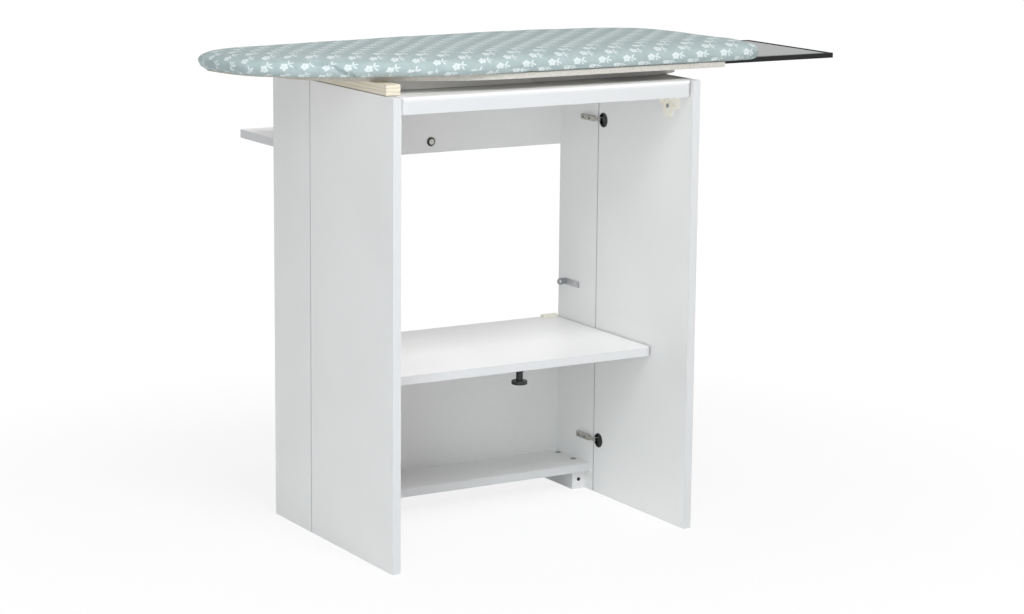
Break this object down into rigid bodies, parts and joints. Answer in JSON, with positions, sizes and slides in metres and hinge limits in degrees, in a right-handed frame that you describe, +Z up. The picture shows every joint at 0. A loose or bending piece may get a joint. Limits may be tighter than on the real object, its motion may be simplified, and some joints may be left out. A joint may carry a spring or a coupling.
{
  "type": "ironing board cabinet",
  "caption": "Shallow white cabinet whose open doors stand as legs under a turning padded ironing board, with a flap shelf, a far console shelf and a pull-out mirror panel.",
  "frame": {"origin": "centre of the object's box at floor level", "axes": "+X along the ironing board from its nose to the mirror panel, +Y away from the user, +Z up"},
  "size_m": [1.22, 0.616, 0.9162],
  "materials": {
    "white_board": "satin white melamine over chipboard",
    "raw_wood": "raw board and pale wood",
    "black_board": "black painted fibreboard",
    "nickel": "nickel plate",
    "steel": "zinc plate",
    "black_plastic": "satin moulded",
    "cream_plastic": "satin moulded",
    "cover_cloth": "printed cotton over felt",
    "mirror_glass": "silvered, bevelled edge"
  },
  "bodies": {
    "cabinet": {"left_side_panel": "white_board", "right_side_panel": "white_board", "bottom_shelf": "white_board", "lower_far_panel": "white_board", "far_top_rail": "white_board", "top_panel": "white_board", "foot_blocks": "white_board", "foot_block_screws": "steel", "top_panel_dowels": "raw_wood", "far_panel_screws": "steel", "cam_locks": "steel", "cam_bolts": "steel", "console_shelf": "white_board", "console_dowels": "raw_wood", "console_bracket": "nickel", "console_bracket_screws": "steel", "console_bolt": "nickel", "console_bolt_washer": "black_plastic", "console_bolt_nut": "steel", "hinge_plates": "nickel", "hinge_arms_left": "nickel", "hinge_arms_right": "nickel", "eye_brackets": "steel", "eye_bracket_screws": "nickel", "flap_hinge_pins": "steel", "swivel_bolt": "steel", "swivel_slip_disc": "black_plastic", "swivel_nut": "steel"},
    "left_door": {"left_door": "white_board", "left_hinge_cups": "black_plastic", "left_top_bracket": "cream_plastic", "left_bracket_screw": "steel"},
    "right_door": {"right_door": "white_board", "right_hinge_cups": "black_plastic", "right_top_bracket": "cream_plastic", "right_bracket_screw": "steel"},
    "flap": {"flap_shelf": "white_board", "flap_hinge_caps": "cream_plastic", "flap_knob": "black_plastic"},
    "board": {"left_turn_plate": "white_board", "right_turn_plate": "white_board", "end_batten": "raw_wood", "plate_screws": "steel", "base_board": "raw_wood", "deck_sheet": "raw_wood", "mirror_runners": "steel", "runner_screws": "steel", "ironing_pad": "cover_cloth"},
    "mirror": {"mirror_backing": "black_board", "mirror_edging": "black_plastic", "mirror_glass": "mirror_glass"}
  },
  "joints": [
    {"name": "left_door_swing", "type": "hinge", "parent": "cabinet", "child": "left_door", "pos_m": [-0.3695, 0.0025, 0.425], "axis": [0, 0, -1], "range_deg": [0, 15]},
    {"name": "right_door_swing", "type": "hinge", "parent": "cabinet", "child": "right_door", "pos_m": [0.2575, 0.0025, 0.425], "axis": [0, 0, 1], "range_deg": [0, 15]},
    {"name": "flap_fold", "type": "hinge", "parent": "cabinet", "child": "flap", "pos_m": [-0.056, 0.154, 0.322], "axis": [-1, 0, 0], "range_deg": [0, 55]},
    {"name": "board_swivel", "type": "hinge", "parent": "cabinet", "child": "board", "pos_m": [-0.056, -0.113, 0.86], "axis": [0, 0, 1], "range_deg": [-90, 90]},
    {"name": "mirror_slide", "type": "slide", "parent": "board", "child": "mirror", "axis": [1, 0, 0], "range_m": [-0.205, 0]}
  ]
}
